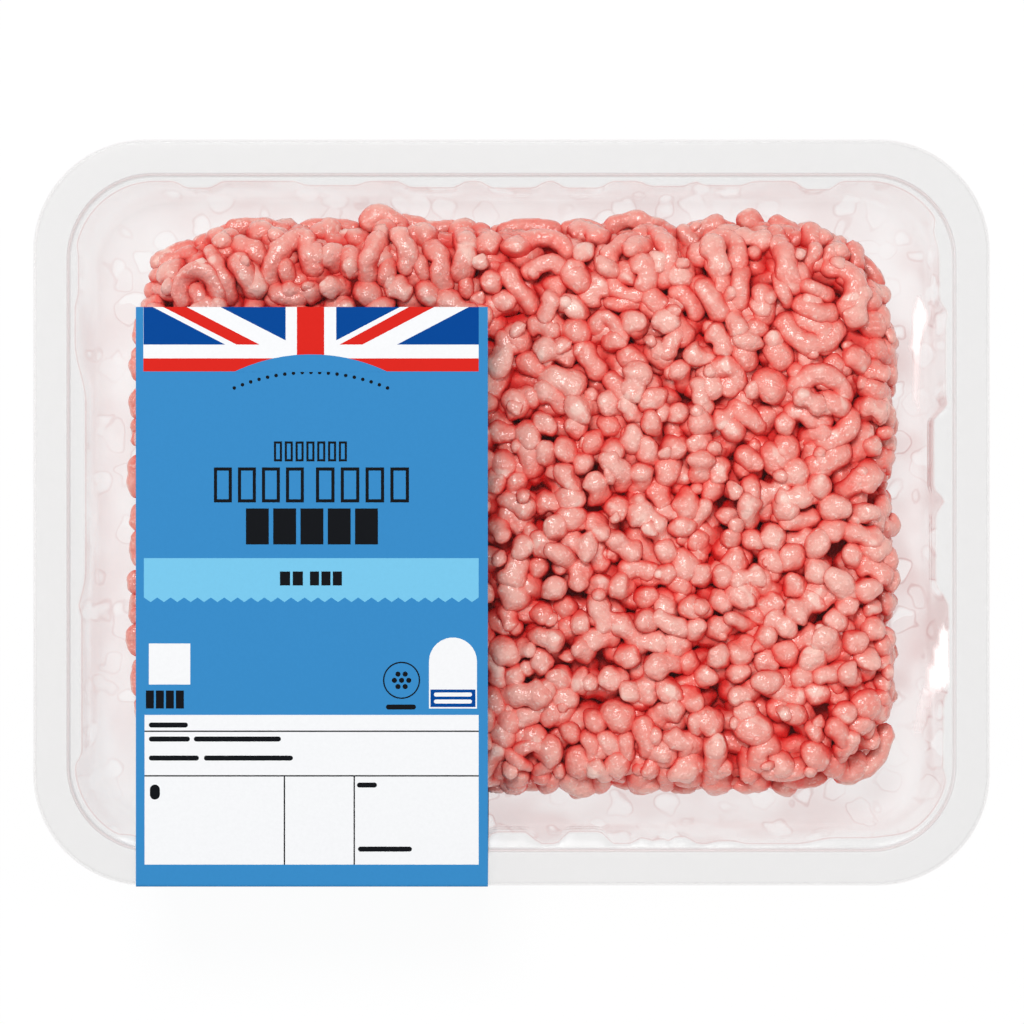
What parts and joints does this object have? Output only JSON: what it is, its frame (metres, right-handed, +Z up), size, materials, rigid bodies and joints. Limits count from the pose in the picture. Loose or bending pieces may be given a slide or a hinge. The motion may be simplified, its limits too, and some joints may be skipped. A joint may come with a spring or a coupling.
{
  "type": "pork mince pack",
  "caption": "Sealed clear plastic tray of raw pork mince with a flat rim, a clear top film and a plain wrap-over label.",
  "frame": {"origin": "centre of the pack's underside, on the surface it stands on", "axes": "+X along the long side of the tray, away from the label; +Y from the edge the label wraps over to the far edge; +Z up through the film"},
  "size_m": [0.227, 0.1772, 0.045],
  "materials": {
    "tray_plastic": "clear thermoformed sheet, glossy",
    "raw_mince": "wet raw meat, pink with pale fat",
    "clear_film": "clear sealing film, glossy",
    "label_paper": "printed satin paper in blue, white and red fields"
  },
  "bodies": {
    "root": {"tray": "tray_plastic", "mince": "raw_mince", "lid_film": "clear_film", "label": "label_paper"}
  },
  "joints": []
}
